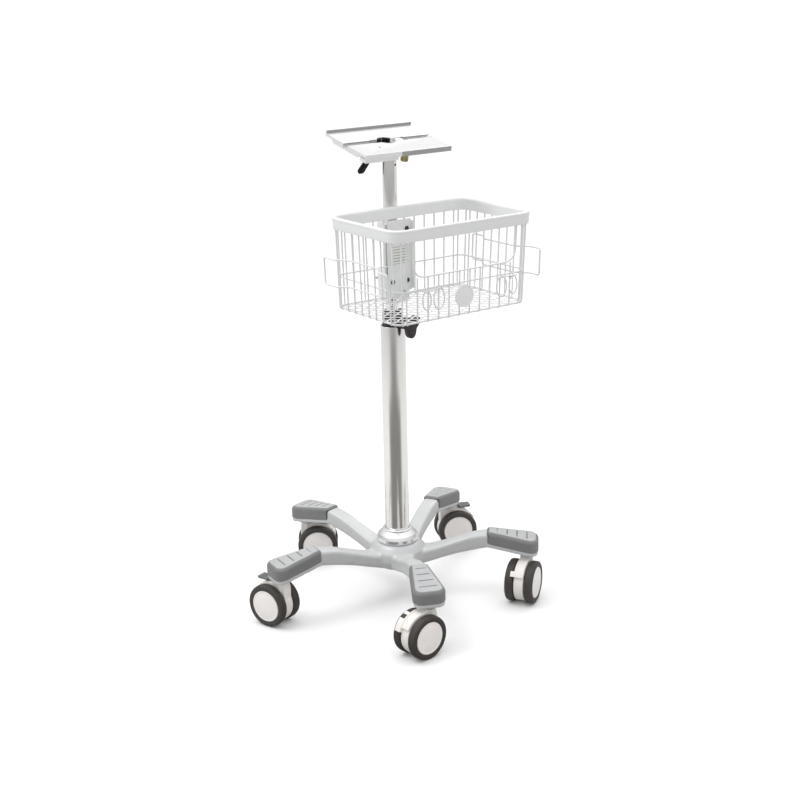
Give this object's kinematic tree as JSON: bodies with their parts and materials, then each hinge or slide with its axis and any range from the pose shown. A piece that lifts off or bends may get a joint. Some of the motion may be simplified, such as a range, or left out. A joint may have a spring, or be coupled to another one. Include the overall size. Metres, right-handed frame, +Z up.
{
  "type": "ultrasound machine roll stand",
  "caption": "Five-leg wheeled stand for a portable ultrasound machine: telescoping column, wire basket, tilting docking platform.",
  "frame": {"origin": "centre of the bounding box, on the floor", "axes": "+Z up along the column, +X along the basket's long side, -Y towards the basket's open front"},
  "size_m": [0.6678, 0.6254, 1.0457],
  "materials": {
    "casting": "satin cast and lacquered",
    "leg_cover": "moulded, lightly textured",
    "chrome": "bright",
    "column_steel": "satin drawn tube",
    "dark_plastic": "moulded",
    "aluminium": "satin anodised",
    "steel": "zinc plated",
    "wire_coat": "powder coated",
    "rim_plastic": "moulded, semi-matt",
    "label": "plain film",
    "black_plastic": "moulded",
    "brass": "turned",
    "white_plastic": "moulded",
    "wheel": "soft grey tread on a white hub"
  },
  "bodies": {
    "base": {"base_spider": "casting", "leg_cover_1": "leg_cover", "leg_cover_2": "leg_cover", "leg_cover_3": "leg_cover", "leg_cover_4": "leg_cover", "leg_cover_5": "leg_cover", "base_collar": "chrome", "lower_column": "column_steel", "column_bush": "dark_plastic", "clamp_collar": "dark_plastic"},
    "height_knob": {"height_knob": "dark_plastic"},
    "mast": {"upper_column": "column_steel", "column_plug": "dark_plastic", "column_clamp": "aluminium", "clamp_bolt_1": "steel", "clamp_bolt_2": "steel", "basket_bracket": "wire_coat", "bracket_screw_1": "dark_plastic", "bracket_screw_2": "dark_plastic", "bracket_screw_3": "dark_plastic", "bracket_screw_4": "dark_plastic", "label_plate": "label", "basket_floor": "wire_coat", "basket_front": "wire_coat", "basket_back": "wire_coat", "basket_left": "wire_coat", "basket_right": "wire_coat", "basket_rim": "rim_plastic", "cleat_left": "wire_coat", "cleat_right": "wire_coat", "front_badge": "rim_plastic", "cable_loop_left": "wire_coat", "cable_loop_right": "wire_coat"},
    "head": {"swivel_collar": "black_plastic", "tilt_yoke": "steel", "tilt_pin": "steel"},
    "platform": {"docking_platform": "aluminium", "platform_screw": "dark_plastic", "plunger_sleeve": "brass"},
    "tilt_lever": {"tilt_lever": "black_plastic"},
    "plunger": {"plunger": "brass"},
    "caster_1": {"caster_1_fork": "white_plastic"},
    "caster_1_wheel_a": {"caster_1_wheel_a": "wheel"},
    "caster_1_wheel_b": {"caster_1_wheel_b": "wheel"},
    "caster_2": {"caster_2_fork": "white_plastic"},
    "caster_2_wheel_a": {"caster_2_wheel_a": "wheel"},
    "caster_2_wheel_b": {"caster_2_wheel_b": "wheel"},
    "caster_3": {"caster_3_fork": "white_plastic"},
    "caster_3_wheel_a": {"caster_3_wheel_a": "wheel"},
    "caster_3_wheel_b": {"caster_3_wheel_b": "wheel"},
    "caster_3_pedal": {"caster_3_pedal": "leg_cover"},
    "caster_4": {"caster_4_fork": "white_plastic"},
    "caster_4_wheel_a": {"caster_4_wheel_a": "wheel"},
    "caster_4_wheel_b": {"caster_4_wheel_b": "wheel"},
    "caster_4_pedal": {"caster_4_pedal": "leg_cover"},
    "caster_5": {"caster_5_fork": "white_plastic"},
    "caster_5_wheel_a": {"caster_5_wheel_a": "wheel"},
    "caster_5_wheel_b": {"caster_5_wheel_b": "wheel"},
    "caster_5_pedal": {"caster_5_pedal": "leg_cover"}
  },
  "joints": [
    {"name": "height_knob_turn", "type": "hinge", "parent": "base", "child": "height_knob", "pos_m": [0.0076, -0.0068, 0.637], "axis": [0.1736, -0.9848, 0], "range_deg": [0, 270]},
    {"name": "mast_slide", "type": "slide", "parent": "base", "child": "mast", "axis": [0, 0, 1], "range_m": [-0.015, 0.15]},
    {"name": "head_swivel", "type": "hinge", "parent": "mast", "child": "head", "pos_m": [0.0076, -0.0068, 0.985], "axis": [0, 0, 1], "range_deg": [-90, 90]},
    {"name": "platform_tilt", "type": "hinge", "parent": "head", "child": "platform", "pos_m": [0.0076, -0.0068, 1.001], "axis": [1, 0, 0], "range_deg": [-13, 17]},
    {"name": "tilt_lever_turn", "type": "hinge", "parent": "head", "child": "tilt_lever", "pos_m": [-0.0324, -0.0068, 1.001], "axis": [1, 0, 0], "range_deg": [-40, 30]},
    {"name": "plunger_pull", "type": "slide", "parent": "platform", "child": "plunger", "axis": [0, 0.225, -0.9744], "range_m": [0, 0.008], "stiffness_N_per_m": 400, "springref_m": -0.005},
    {"name": "caster_1_swivel", "type": "hinge", "parent": "base", "child": "caster_1", "pos_m": [-0.10571, -0.27375, 0.11], "axis": [0, 0, 1], "continuous": true},
    {"name": "caster_1_roll_a", "type": "hinge", "parent": "caster_1", "child": "caster_1_wheel_a", "pos_m": [-0.13057, -0.27636, 0.0475], "axis": [0.1045, -0.9945, 0], "continuous": true},
    {"name": "caster_1_roll_b", "type": "hinge", "parent": "caster_1", "child": "caster_1_wheel_b", "pos_m": [-0.13057, -0.27636, 0.0475], "axis": [0.1045, -0.9945, 0], "continuous": true},
    {"name": "caster_2_swivel", "type": "hinge", "parent": "base", "child": "caster_2", "pos_m": [0.22647, -0.19706, 0.11], "axis": [0, 0, 1], "continuous": true},
    {"name": "caster_2_roll_a", "type": "hinge", "parent": "caster_2", "child": "caster_2_wheel_a", "pos_m": [0.2055, -0.21067, 0.0475], "axis": [0.5446, -0.8387, 0], "continuous": true},
    {"name": "caster_2_roll_b", "type": "hinge", "parent": "caster_2", "child": "caster_2_wheel_b", "pos_m": [0.2055, -0.21067, 0.0475], "axis": [0.5446, -0.8387, 0], "continuous": true},
    {"name": "caster_3_swivel", "type": "hinge", "parent": "base", "child": "caster_3", "pos_m": [0.25618, 0.14256, 0.11], "axis": [0, 0, 1], "continuous": true},
    {"name": "caster_3_roll_a", "type": "hinge", "parent": "caster_3", "child": "caster_3_wheel_a", "pos_m": [0.27919, 0.13279, 0.0475], "axis": [0.3907, 0.9205, 0], "continuous": true},
    {"name": "caster_3_roll_b", "type": "hinge", "parent": "caster_3", "child": "caster_3_wheel_b", "pos_m": [0.27919, 0.13279, 0.0475], "axis": [0.3907, 0.9205, 0], "continuous": true},
    {"name": "caster_3_brake", "type": "hinge", "parent": "caster_3", "child": "caster_3_pedal", "pos_m": [0.28748, 0.12928, 0.1018], "axis": [0.3907, 0.9205, 0], "range_deg": [0, 14]},
    {"name": "caster_4_swivel", "type": "hinge", "parent": "base", "child": "caster_4", "pos_m": [-0.05764, 0.27577, 0.11], "axis": [0, 0, 1], "continuous": true},
    {"name": "caster_4_roll_a", "type": "hinge", "parent": "caster_4", "child": "caster_4_wheel_a", "pos_m": [-0.03667, 0.26215, 0.0475], "axis": [0.5446, 0.8387, 0], "continuous": true},
    {"name": "caster_4_roll_b", "type": "hinge", "parent": "caster_4", "child": "caster_4_wheel_b", "pos_m": [-0.03667, 0.26215, 0.0475], "axis": [0.5446, 0.8387, 0], "continuous": true},
    {"name": "caster_4_brake", "type": "hinge", "parent": "caster_4", "child": "caster_4_pedal", "pos_m": [-0.02912, 0.25725, 0.1018], "axis": [0.5446, 0.8387, 0], "range_deg": [0, 14]},
    {"name": "caster_5_swivel", "type": "hinge", "parent": "base", "child": "caster_5", "pos_m": [-0.2813, 0.01847, 0.11], "axis": [0, 0, 1], "continuous": true},
    {"name": "caster_5_roll_a", "type": "hinge", "parent": "caster_5", "child": "caster_5_wheel_a", "pos_m": [-0.28944, 0.04211, 0.0475], "axis": [-0.9455, -0.3256, 0], "continuous": true},
    {"name": "caster_5_roll_b", "type": "hinge", "parent": "caster_5", "child": "caster_5_wheel_b", "pos_m": [-0.28944, 0.04211, 0.0475], "axis": [-0.9455, -0.3256, 0], "continuous": true},
    {"name": "caster_5_brake", "type": "hinge", "parent": "caster_5", "child": "caster_5_pedal", "pos_m": [-0.29237, 0.05062, 0.1018], "axis": [-0.9455, -0.3256, 0], "range_deg": [0, 14]}
  ]
}
